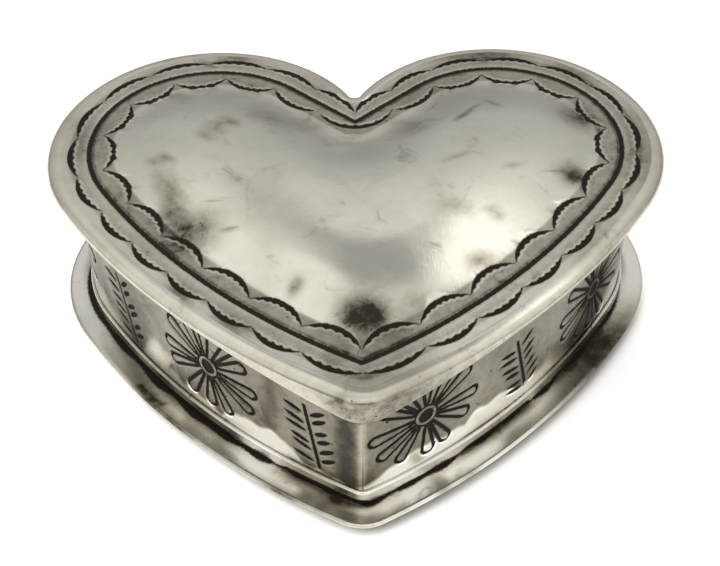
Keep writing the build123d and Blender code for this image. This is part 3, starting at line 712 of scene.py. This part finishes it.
# Painted reflection and painted shade: the wall is grey above its bright foot, for the darker
# surroundings it reflects and the shadow under the lid
painted_wall_grey = 0.74
inside_tarnish = 0.35
foot_low = 7.6  # the grey starts here, and higher above a bright foot

# Painted reflection: the foot of the wall is left bright, for the bright plate and floor it reflects:
# place along it, half length and how far it rises
painted_bright_foot = (
    (-48.5, 5.5, 13.9), (-38, 6, 9.6), (-22, 8.6, 12), (14.5, 11.5, 11.8), (29, 7.6, 13.1), (44, 9, 11),
    (-75, 12, 12), (-105, 14, 13.5), (-135, 12, 12), (75, 12, 12), (108, 14, 13.5), (136, 12, 12),
)
# Darker and lighter stretches, partly stains and partly painted: shade beside the tip and at the far
# right, and a highlight on the tip's corner. Place along the wall, height, half length, half height and
# change
wall_stains_and_shade = (
    (-3.4, 18, 2.3, 30, 0.28), (-0.2, 18, 0.8, 30, -0.26), (-19.3, 20, 1.7, 9, 0.13),
    (-44, 19, 4, 5, -0.06), (-44.5, 10.2, 1.2, 2, 0.25), (-57, 16, 5, 9, 0.12), (61, 15, 5.5, 15, 0.3),
    (24.5, 18, 3, 8, -0.06), (46, 20, 5, 8, -0.06), (-92, 18, 6, 14, 0.15), (94, 18, 6, 14, 0.15),
    (-120, 20, 5, 12, 0.12), (121, 20, 5, 12, 0.12), (-70, 16, 4, 16, 0.14),
)
# Duller places on the painted bright foot: place along the wall, height, half length, half height and
# strength
foot_dull_places = (
    (-45, 6.9, 11, 2.1, 0.46), (0.5, 8.5, 1.8, 4, 0.22), (57, 8, 4, 3, 0.5), (-10, 7.4, 5, 1.5, 0.3),
    (27, 7.2, 5, 1.2, 0.3), (63, 9, 6, 5, 0.5), (-60, 8, 8, 3, 0.4),
)
# Stretches under the painted bright foot, where the collar and the base beside it are painted lighter
# too: place along the wall and half length
bright_foot_stretches = (
    (-22.5, 5.6), (11.5, 10), (43.5, 3.4), (-75, 9), (-105, 10), (-135, 9), (75, 9), (108, 10),
    (136, 9),
)
# Darker and lighter stretches of the collar, stains with painted shade among them, as at the far right:
# place along the wall, half length and change
collar_stains_and_shade = (
    (-45, 14, 0.42), (-9, 6, 0.26), (-22, 5, -0.15), (5, 5, -0.15), (47, 5, 0.4), (57, 7, 0.7),
    (-62, 7, 0.2), (91, 6, 0.3), (-91, 6, 0.3), (122, 5, 0.25), (-120, 5, 0.25),
)
collar_columns = 480
collar_grey = 0.16


def beside_bright_foot(along):
    """1 on the stretches under the painted bright foot."""
    return np.max([bell((along - place) / half, 4) for place, half in bright_foot_stretches], axis=0)


def wall_tarnish_and_reflection(along, height):
    """How dull the wall is, with painted reflection: bright near its foot in places and grey above, for
    the bright plate and the darker surroundings it reflects.
    """
    top = np.full(along.shape, foot_low)
    for place, half, rise in painted_bright_foot:
        top = np.maximum(top, foot_low + (rise - foot_low) * bell((along - place) / half, 4))
    top += 0.35 * np.sin(along / 1.7) + 0.25 * np.sin(along / 0.8 + 1.0)
    grey = painted_wall_grey + 0.02 * np.sin(along / 5.0) + patches(along, height, wall_stains_and_shade)
    edge = 1.3 + 3.4 * smooth((np.abs(along) - 40.0) / 8.0)
    grey = grey * smooth((height - top) / edge + 0.5) + patches(along, height, foot_dull_places)
    return np.clip(grey, 0.0, 1.0)


def make_wall(side, name, material):
    """One half of the wall, from tip to cleft: stamped outside, plain inside."""
    shell = Shell()
    counts = wall_counts(wall_columns)
    flip = np.array([side, 1.0])
    points, normals = wall_half(0.0, counts)
    inside, inside_normals = wall_half(-wall_sheet, counts)
    along = side * lengths_along(points)
    stamped = np.linspace(stamped_low, stamped_high, stamped_rows)
    heights = [floor_z, floor_z + 2.0, *stamped, 35.0, wall_top_z - wall_edge]
    rows = []
    for height in heights:
        press, swell = wall_relief(along, np.full(len(along), height))
        wave = wall_wave * np.sin(along / 9.0 + height / 14.0) * np.sin(height / 11.0 - along / 23.0)
        fade = smooth((wall_top_z - height) / 4.0) * smooth((height - floor_z) / 4.0)
        depth = -wall_depth * press + petal_swell * swell * (1 - press) + (wave - petal_swell) * fade
        depth[[0, -1]] = 0.0
        moved = points + normals * np.minimum(depth, 0.0)[:, None]
        black = np.maximum(press, smooth((floor_z + collar_height + 0.2 - height) / 0.3))
        rows.append(shell.row(moved * flip, height, black, wall_tarnish_and_reflection(along, height)))
    for outline, height in (
        (points - normals * wall_edge, wall_top_z), (inside + inside_normals * wall_edge, wall_top_z),
        (inside, wall_top_z - wall_edge), (inside, floor_z),
    ):
        rows.append(shell.row(outline * flip, height, 0.0, inside_tarnish))
    shell.skin(rows + rows[:1], ring=False)
    shell.faces.append([int(row[0]) for row in rows[::-1]])
    shell.faces.append([int(row[-1]) for row in rows])
    if side < 0:
        for face in shell.faces:
            face.reverse()
    return shell.make(name, material)


def make_collar(material):
    """Strip round the foot of the wall, with a soft upper edge and a shallow waist."""
    shell = Shell()
    counts = wall_counts(collar_columns)
    top = floor_z + collar_height
    profile = (
        (collar_sheet, floor_z), (0.06, floor_z), (0.0, floor_z + 0.1), (0.0, floor_z + 0.9),
        (0.08, floor_z + 1.5), (0.04, top - 0.9), (0.0, top - 0.45), (0.06, top - 0.2),
        (0.2, top - 0.06), (0.35, top), (collar_sheet, top),
    )
    rows = []
    for inset, height in profile:
        rows.append(shell.row(whole(wall_half(collar_sheet - inset, counts)[0]), height))
    shell.skin(rows + rows[:1])
    z = shell.points[:, 2]
    along = along_wall(shell.points)
    # Painted reflection: the black at the collar's foot stays low, and its upper line pale, along the
    # stretches under the painted bright foot
    dimmed = 1.0 - beside_bright_foot(along)
    low = smooth((floor_z + 1.7 * dimmed - z) / 0.6)
    shell.oxide = np.maximum(low, 0.5 * dimmed * smooth((z - top + 0.12) / 0.15))
    # Grey of the collar, with stains and painted shade
    grey = np.full(z.shape, collar_grey)
    for place, half, change in collar_stains_and_shade:
        grey += change * bell((along - place) / half)
    shell.tarnish_and_shade = np.clip(grey, 0.0, 1.0)
    return shell.make("collar", material)


# Stains on the base plate, with painted dark reflection of the wall among them, such as the two at the
# far right, near x 47 and 54: place, size, turn and strength
base_stains_and_shade = (
    (-36, -24, 6, 2, -48, 0.5), (-15, -41, 4, 1.6, -40, 0.4), (42, -18, 8, 2, 48, 0.4),
    (20, -38, 3, 1.4, 38, 0.3), (54, -2, 4, 9, -25, 0.62), (46.5, -8.5, 8.5, 3.4, 52, 0.9),
    (-40.8, -17, 4.5, 1.7, -50, 0.6), (-4.8, -43.6, 2.8, 1.2, -30, 0.6),
    (14.3, -40, 1.6, 2.4, 34, 0.55), (-7.4, -44.5, 1.4, 1, 0, 0.4), (-41.5, -16.2, 1.6, 0.5, -40, 0.7),
    (-39.6, -18.4, 1.2, 0.5, -20, 0.7), (-38.2, -19.4, 0.9, 0.5, 10, 0.6),
    (-42.8, -14.6, 0.8, 0.6, 0, 0.6),
)
base_columns = 480
top_insets = (0.4, 0.8, 1.4, 2.0, 2.6, 3.2, 3.8, 4.3, 4.6, 4.9, 5.2, 5.6, 6.3)
base_ripple = 0.1  # unevenness of the part that stands out
base_tip_round = 0.8  # least rounding of an inner row
joint_inset = 4.9  # black joint beside the collar
# Darker band on the plate beside the collar: tarnish, and painted reflection of the dark wall above it
joint_stain_and_shade = 0.65
edge_stain = 0.34  # along the rim, at the left
key_opening = (-14.0, 1.0, 14.0, 64)
screw_hole = 1.25
screw_reach_x = 24.0
screw_reach_y = 19.0


def make_base(material):
    """Base plate: flat sheet with a soft edge, the key opening and four screw holes."""
    shell = Shell()
    counts = share_columns(heart_arcs(flange, flange_tip_round, flange_cleft_round), base_columns)

    def ring(inset, height, step=1):
        points = flange_ring(inset, max(flange_tip_round - inset, base_tip_round), counts)[::step]
        ripple = base_ripple * np.sin(points[:, 0] / 6.0 + 0.6) * np.sin(points[:, 1] / 7.0 + 0.4)
        return shell.row(points, height + ripple * (1.0 - smooth((inset - 2.0) / 2.5)))

    rim = [(0.4, base_z), (0.12, base_z + 0.1), (0.0, base_z + 0.35)]
    rim += [(0.0, floor_z - 0.35), (0.12, floor_z - 0.1)]
    rim += [(inset, floor_z) for inset in top_insets]
    rows = [ring(inset, height) for inset, height in rim]
    rows += [ring(7.0, floor_z, 2), ring(8.0, floor_z, 4)]
    shell.skin(rows)
    bottom = [rows[0], ring(2.0, base_z), ring(7.0, base_z, 2), ring(8.0, base_z, 4)]
    shell.skin(bottom, inward=True)
    holes = [key_opening]
    for sx, sy in corners:
        holes.append((sx * screw_reach_x, sy * screw_reach_y, screw_hole, 20))
    first_flat = len(shell.faces)
    flat = [Vector(shell.points[index, :2]) for index in rows[-1]]
    edges = [(k, (k + 1) % len(flat)) for k in range(len(flat))]
    upper = list(rows[-1])
    lower = list(bottom[-1])
    for cx, cy, radius, sides in holes:
        angle = 2 * pi * np.arange(sides) / sides
        circle = np.column_stack([cx + radius * np.cos(angle), cy + radius * np.sin(angle)])
        start = len(flat)
        flat.extend(Vector(point) for point in circle)
        edges.extend((start + k, start + (k + 1) % sides) for k in range(sides))
        high = shell.row(circle, floor_z)
        low = shell.row(circle, base_z)
        shell.join(high, low)
        upper.extend(high)
        lower.extend(low)
    made = delaunay_2d_cdt(flat, edges, [list(range(len(rows[-1])))], 1, 1e-6)
    for face in made[2]:
        middle = sum((made[0][k] for k in face), Vector((0.0, 0.0))) / len(face)
        if all(hypot(middle.x - cx, middle.y - cy) > radius * 0.999 for cx, cy, radius, _ in holes):
            shell.faces.append([int(upper[k]) for k in face])
            shell.faces.append([int(lower[k]) for k in reversed(face)])

    x, y, _ = shell.points.T
    inset = np.zeros(x.shape)
    edge = np.zeros(x.shape)
    for row, (depth, height) in zip(rows, rim):
        inset[row] = depth
        edge[row] = smooth((0.6 - depth) / 0.3)
    uneven = np.sin(x / 2.7) * np.sin(y / 3.9 + 1.0) + 0.6 * np.sin(x / 1.1)
    along = along_wall(shell.points)
    dark = 1.0 - smooth((along + 30.0) / 8.0)
    joint = 0.5 + 0.5 * (0.55 + 0.5 * dark + 0.4 * uneven - np.abs(inset - joint_inset))
    shell.oxide = np.clip(joint, 0.0, 1.0) * (inset > 2.0)
    right = smooth(x / 10.0 + 0.5)
    # Painted reflection: the plate beside the collar is darkened for the dark wall it reflects, less
    # along the stretches under the painted bright foot
    dimmed = 1.0 - 0.8 * beside_bright_foot(along)
    stains_and_shade = joint_stain_and_shade * dimmed * bell((inset - 4.5) / (1.6 - 0.5 * right))
    stains_and_shade += (edge_stain - 0.28 * right) * edge + 0.1 * (inset < 0.1) + patches(x, y, base_stains_and_shade)
    shell.tarnish_and_shade = np.clip(stains_and_shade, 0.0, 1.0)
    base = shell.make("base", material)
    for index in range(first_flat, len(shell.faces)):
        base.data.polygons[index].use_smooth = False
    return base


class Nodes:
    """Short way to build a node tree."""

    def __init__(self, tree, place):
        self.tree = tree
        self.place = self.add("TexCoord").outputs[place]

    def feed(self, socket, value):
        """Link an input, or set it to a number, direction or colour."""
        if isinstance(value, bpy.types.NodeSocket):
            self.tree.links.new(value, socket)
        elif socket.type == "RGBA":
            socket.default_value = (*value, 1.0)
        else:
            socket.default_value = value

    def add(self, kind, *first, **named):
        """New node, with inputs in order and by name. None leaves one alone."""
        node = self.tree.nodes.new("ShaderNode" + kind)
        for place, value in (*enumerate(first), *named.items()):
            if value is not None:
                self.feed(node.inputs[place], value)
        return node

    def noise(self, size, detail=4.0, rough=0.55, stretch=None, distort=0.0):
        """Noise with features about this many millimetres across."""
        place = self.place
        if stretch:
            place = self.add("Mapping", place, Scale=stretch).outputs["Vector"]
        fine = {"Scale": 1.0 / (size * MM), "Detail": detail, "Roughness": rough, "Distortion": distort}
        return self.add("TexNoise", place, **fine).outputs["Fac"]

    def span(self, value, low, high, out_low=0.0, out_high=1.0):
        """Soft step of a number from one range to another."""
        node = self.add("MapRange", value, low, high, out_low, out_high)
        node.interpolation_type = "SMOOTHSTEP"
        return node.outputs["Result"]

    def math(self, kind, first, second):
        node = self.add("Math", first, second)
        node.operation = kind
        node.use_clamp = kind in ("ADD", "MULTIPLY", "MAXIMUM")
        return node.outputs["Value"]

    def mix(self, share, first, second):
        node = self.add("Mix", share)
        node.data_type = "RGBA"
        self.feed(node.inputs[6], first)
        self.feed(node.inputs[7], second)
        return node.outputs[2]

    def ramp(self, value, stops):
        """Colours along a number. The first stop is at 0 and the last at 1."""
        node = self.add("ValToRGB", Fac=value)
        made = node.color_ramp.elements
        for place, _ in stops[1:-1]:
            made.new(place)
        for stop, (_, colour) in zip(made, stops):
            stop.color = (*colour, 1.0)
        return node.outputs["Color"]

    def attribute(self, name):
        node = self.add("Attribute")
        node.attribute_name = name
        return node.outputs["Fac"]

    def bump(self, value, depth, strength=1.0, under=None):
        node = self.add("Bump", Strength=strength, Distance=depth * MM, Height=value, Normal=under)
        return node.outputs["Normal"]

    def open_share(self, distance, normal=None):
        """How open a place is: 1 where nothing stands within this many metres."""
        return self.add("AmbientOcclusion", Distance=distance, Normal=normal).outputs["AO"]

    def along(self, direction):
        """Place measured along a direction."""
        node = self.add("VectorMath", self.place, direction)
        node.operation = "DOT_PRODUCT"
        return node.outputs["Value"]


def new_material(name):
    """Material, its nodes and the inputs of its shader."""
    material = bpy.data.materials.new(name)
    material.use_nodes = True
    n = Nodes(material.node_tree, "Object")
    return material, n, n.tree.nodes["Principled BSDF"].inputs


# Colours of silver as it ages, after the clean one
silver_ages = (
    (0.3, (0.60, 0.572, 0.478)), (0.62, (0.31, 0.292, 0.236)), (0.85, (0.12, 0.106, 0.078)),
    (1.0, (0.045, 0.038, 0.03)),
)
oxide_black = (0.017, 0.014, 0.010)


def silver(name, clean, stained, haze):
    """Aged polished silver: it dulls to grey and brown with tarnish and with the painted shade and
    reflection carried alongside it, and the stamps are black.
    """
    material, n, shader = new_material(name)
    cloud = n.span(n.noise(24.0, 5.0), 0.45, 0.75, -0.05 * stained, 0.16 * stained)
    smudge = n.span(n.noise(6.0, 6.0, 0.62, distort=0.6), 0.57, 0.74, 0.0, 0.27 * stained)
    speck = n.span(n.noise(1.3, 2.0, 0.5), 0.68, 0.74, 0.0, 0.25)
    uneven = n.noise(2.2, 8.0, 0.68, distort=0.4)
    mottle = n.span(uneven, 0.3, 0.7, 1.0 - 0.2 * stained, 1.0 + 0.2 * stained)
    dull = n.math("MULTIPLY", n.attribute("tarnish_and_shade"), mottle)
    age = n.math("ADD", n.math("ADD", dull, cloud), smudge)
    age = n.math("ADD", age, n.math("MULTIPLY", speck, n.span(age, 0.15, 0.45)))
    colour = n.ramp(age, ((0.0, clean), *silver_ages))
    grain = n.span(n.noise(0.5, 3.0), 0.3, 0.7, -0.06, 0.06)
    black = n.span(n.math("ADD", n.attribute("oxide"), grain), 0.32, 0.62)
    n.feed(shader["Base Color"], n.mix(black, colour, oxide_black))
    n.feed(shader["Metallic"], n.math("SUBTRACT", 1.0, n.math("MULTIPLY", black, 0.9)))
    n.feed(shader["Specular IOR Level"], n.math("SUBTRACT", 0.5, n.math("MULTIPLY", black, 0.42)))
    rough = n.span(n.noise(11.0, 5.0), 0.35, 0.7, haze, haze + 0.08)
    rough = n.math("ADD", rough, n.math("MULTIPLY", age, 0.22))
    n.feed(shader["Roughness"], n.math("ADD", rough, n.math("MULTIPLY", black, 0.3)))
    fine = n.bump(n.noise(0.35, 2.0, 0.5, (1.0, 0.06, 1.0)), 0.006, 0.5)
    fine = n.bump(n.noise(0.4, 2.0, 0.5, (0.05, 1.0, 1.0)), 0.005, 0.4, fine)
    n.feed(shader["Normal"], n.bump(n.noise(9.0, 3.0), 0.03, 1.0, fine))
    return material


def metal(name, colour, dimmed, rough):
    """Movement metal: colour that varies a little, dull patches and fine tool marks."""
    material, n, shader = new_material(name)
    n.feed(shader["Base Color"], n.mix(n.span(n.noise(5.0, 5.0), 0.4, 0.7), colour, dimmed))
    n.feed(shader["Metallic"], 1.0)
    n.feed(shader["Roughness"], n.span(n.noise(2.5, 4.0), 0.3, 0.7, rough, rough + 0.16))
    n.feed(shader["Normal"], n.bump(n.noise(0.3, 2.0, 0.5, (1.0, 0.08, 1.0)), 0.008, 0.6))
    return material


aged_silver = silver("aged_silver", (0.92, 0.89, 0.785), 1.0, 0.1)
wall_silver = silver("wall_silver", (0.96, 0.948, 0.905), 0.35, 0.13)
base_silver = silver("base_silver", (0.94, 0.92, 0.855), 0.8, 0.2)
nickel = metal("nickel", (0.72, 0.70, 0.66), (0.60, 0.58, 0.54), 0.2)
brass = metal("brass", (0.80, 0.60, 0.28), (0.66, 0.47, 0.20), 0.2)
steel = metal("steel", (0.58, 0.58, 0.58), (0.47, 0.46, 0.45), 0.22)
blued = metal("spring_steel", (0.36, 0.38, 0.43), (0.28, 0.29, 0.33), 0.25)

for piece, body, node in (
    (make_lid(aged_silver), "lid", "lid_shell"),
    (make_wall(-1.0, "wall_left", wall_silver), "case", "body_wall"),
    (make_wall(1.0, "wall_right", wall_silver), "case", "body_wall"),
    (make_collar(wall_silver), "case", "base_collar"),
    (make_base(base_silver), "case", "base_plate"),
):
    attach(piece, body)
    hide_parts(node)

finishes = {
    aged_silver: ("feet", "lid_bezel"),
    nickel: (
        "bedplate", "mounting_posts", "comb_base", "governor_frame", "governor_cock", "cylinder_post",
        "winding_key",
    ),
    brass: (
        "spring_barrel", "barrel_cap", "pin_cylinder", "drive_pinion", "cylinder_gear", "governor_pinion",
        "worm_wheel", "ratchet_wheel", "fly_vanes",
    ),
    steel: (
        "winding_arbor", "cylinder_arbor", "governor_arbor", "fly_worm", "comb", "stop_plunger",
        "base_screws", "comb_screws",
    ),
    blued: ("mainspring", "click", "stop_spring"),
}
for material, names in finishes.items():
    for name in names:
        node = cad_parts[name]
        if not node.material_slots:
            node.data.materials.append(material)
        for place in node.material_slots:
            place.material = material

# Floor: pale, white to the camera and to reflections, with the shadow of the box kept and a shadow
# painted into its colour beside the box; near the box it glows brighter in reflections, a painted light
floor_half = 2.5
floor_white = (0.88, 0.88, 0.87)
painted_floor_shadow = (0.12, 0.12, 0.12)
floor_glow = 0.42
shadow_reach = 0.008
shadow_lean = (-0.5, 0.866)
reflected_reach = 0.03


def floor_material():
    """Pale floor that glows white to the camera, except beside the box, where a shadow is also painted
    into its colour; to reflections it glows brighter near the box.
    """
    material, n, shader = new_material("floor_pale")
    n.feed(shader["Roughness"], 0.9)
    n.feed(shader["Specular IOR Level"], 0.0)
    n.feed(shader["Emission Color"], (1.0, 1.0, 1.0))
    rays = n.add("LightPath").outputs
    toward_lamp = n.add("CombineXYZ", X=shadow_lean[0], Z=shadow_lean[1])
    clear = n.open_share(shadow_reach, toward_lamp.outputs["Vector"])
    # Painted shadow: the floor's colour darkens where the box stands close, measured toward the lamp's
    # side
    n.feed(shader["Base Color"], n.mix(n.span(clear, 0.3, 0.64), painted_floor_shadow, floor_white))
    shown = n.math("MULTIPLY", rays["Is Camera Ray"], n.span(clear, 0.35, 0.7))
    mirrored = n.math("MAXIMUM", rays["Is Glossy Ray"], rays["Is Transmission Ray"])
    # Painted light: to reflections the floor glows brighter near the box, so the wall's foot shows bright
    around = n.span(n.open_share(reflected_reach), 0.4, 0.95, 0.9, floor_glow)
    mirrored = n.math("MULTIPLY", mirrored, around)
    glow = n.math("MAXIMUM", n.math("MULTIPLY", shown, floor_glow), mirrored)
    n.feed(shader["Emission Strength"], glow)
    return material


floor_mesh = bpy.data.meshes.new("floor")
floor_corners = [(sx * floor_half, sy * floor_half, 0.0) for sx, sy in corners]
floor_mesh.from_pydata(floor_corners, [], [(0, 2, 3, 1)])
floor_mesh.materials.append(floor_material())
floor = add_object("floor", floor_mesh)

# World: soft grey room, brighter overhead, with softboxes and a grey screen
world = bpy.data.worlds.new("studio")
scene.world = world
world.use_nodes = True
sky = Nodes(world.node_tree, "Generated")
back = sky.tree.nodes["Background"].inputs
room = ((0.0, 0.26), (0.35, 0.46), (0.6, 0.5), (0.68, 0.6), (0.77, 0.76), (1.0, 0.92))


def lit(grey):
    """Slightly warm grey."""
    return (grey, grey * 0.995, grey * 0.975)


def sky_step(slope, level, soft):
    """1 where the heading, measured along a slope, is past a level."""
    return sky.span(sky.along(slope), level - soft, level + soft)


def panel(under, grey, edges):
    """Softbox or screen overhead, within straight edges."""
    share = sky_step((0.0, 0.0, 1.0), 0.1, 0.1)
    for slope_x, slope_y, level, soft in edges:
        share = sky.math("MULTIPLY", share, sky_step((slope_x, slope_y, 0.0), level, soft))
    return sky.mix(share, under, lit(grey))


# Grey of each panel, and its edges: slope in x and y, level and softness
panels = (
    (0.36, (
        (1, 0, -0.17, 0.16), (-1, -0.7, -0.6, 0.025), (-0.25, -1, -0.615, 0.02), (0.25, 1, 0.36, 0.08),
    )),
    (1.35, ((1, 0.7, 0.63, 0.03), (-0.75, -1, -0.76, 0.05), (0, 1, 0.12, 0.08))),
    (0.9, ((1, 0, -0.5, 0.08), (-1, 0, 0.14, 0.06), (0, 1, 0.05, 0.08), (0, -1, -0.43, 0.05))),
    (1.35, ((1, 0, -0.6, 0.08), (-1, 0, -0.6, 0.08), (0, -1, 0.3, 0.08), (0, 1, -0.88, 0.08))),
    (0.95, ((1, 0, 0.5, 0.08), (0, -1, -0.22, 0.08), (0, 1, -0.75, 0.08))),
    (0.9, ((-1, 0, 0.55, 0.08), (0, 1, -0.5, 0.08), (0, -1, -0.25, 0.08))),
)
light = sky.ramp(sky.along((0.0, 0.0, 1.0)), [(level, lit(grey)) for level, grey in room])
for grey, edges in panels:
    light = panel(light, grey, edges)
sky.feed(back["Color"], light)
sky.feed(back["Strength"], 1.0)

# Soft square lamp that faces the box
lamp_place = Vector((-0.55, 0.35, 0.9))
lamp_target = Vector((0.0, 0.0, 0.03))
lamp_light = bpy.data.lights.new("key_lamp", "AREA")
lamp_light.size = 0.6
lamp_light.energy = 4.5
lamp = add_object("key_lamp", lamp_light)
lamp.location = lamp_place
lamp.rotation_euler = (lamp_target - lamp_place).to_track_quat("-Z", "Y").to_euler()
lamp.visible_glossy = False

# Camera at the photograph's viewing angle
camera_turn = radians(1.023)
camera_rise = radians(44.728)
camera_roll = radians(-0.209)
camera_reach = 264.18
camera_target = Vector((0.006, -21.583, 38.2))
forward = Vector((
    sin(camera_turn) * cos(camera_rise), cos(camera_turn) * cos(camera_rise), -sin(camera_rise),
))
right = Vector((cos(camera_turn), -sin(camera_turn), 0.0))
up = right.cross(forward)
axis_x = right * cos(camera_roll) + up * sin(camera_roll)
axis_y = up * cos(camera_roll) - right * sin(camera_roll)
lens = bpy.data.cameras.new("camera")
lens.lens = 75.0
lens.sensor_width = 36.0
lens.clip_start = 0.01
camera = add_object("camera", lens)
turned = Matrix((axis_x, axis_y, -forward)).transposed().to_4x4()
camera.matrix_world = Matrix.Translation((camera_target - forward * camera_reach) * MM) @ turned
scene.camera = camera
scene.view_settings.view_transform = "Standard"
